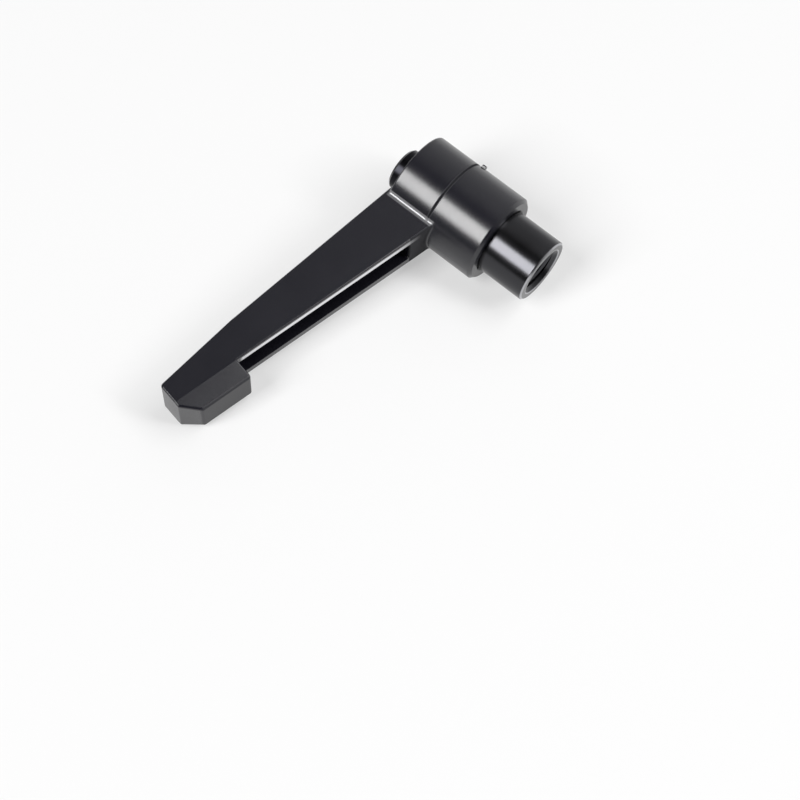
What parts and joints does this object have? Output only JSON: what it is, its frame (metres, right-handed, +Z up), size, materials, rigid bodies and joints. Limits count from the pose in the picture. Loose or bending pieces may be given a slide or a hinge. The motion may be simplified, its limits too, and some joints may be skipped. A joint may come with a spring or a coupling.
{
  "type": "adjustable clamping lever",
  "caption": "Ratcheting clamp lever with a tapered, channelled arm on a spring-loaded toothed hub and a protruding internally threaded steel insert.",
  "frame": {"origin": "on the thread's axis, where the thread begins behind the insert's countersink", "axes": "+Y along the thread, out of the insert's mouth; +X along the arm; +Z up from the surface the lever lies on, which it touches with its hub and with one side of the tip"},
  "size_m": [0.091, 0.0453, 0.0222],
  "materials": {
    "coated_casting": "satin black powder coat on a zinc casting",
    "blackened_steel": "turned and blackened",
    "screw_steel": "black oxide",
    "spring_steel": "drawn spring wire, oiled"
  },
  "bodies": {
    "insert": {"threaded_insert": "blackened_steel", "retaining_screw": "screw_steel"},
    "spring": {"lift_spring": "spring_steel"},
    "lever": {"lever": "coated_casting"}
  },
  "joints": [
    {"name": "lever_turn", "type": "hinge", "parent": "insert", "child": "spring", "pos_m": [0, 0, 0], "axis": [0, 1, 0], "continuous": true},
    {"name": "lever_lift", "type": "slide", "parent": "spring", "child": "lever", "axis": [0, -1, 0], "range_m": [0, 0.005], "stiffness_N_per_m": 1500, "springref_m": -0.0053, "deforming": ["lift_spring"]}
  ]
}
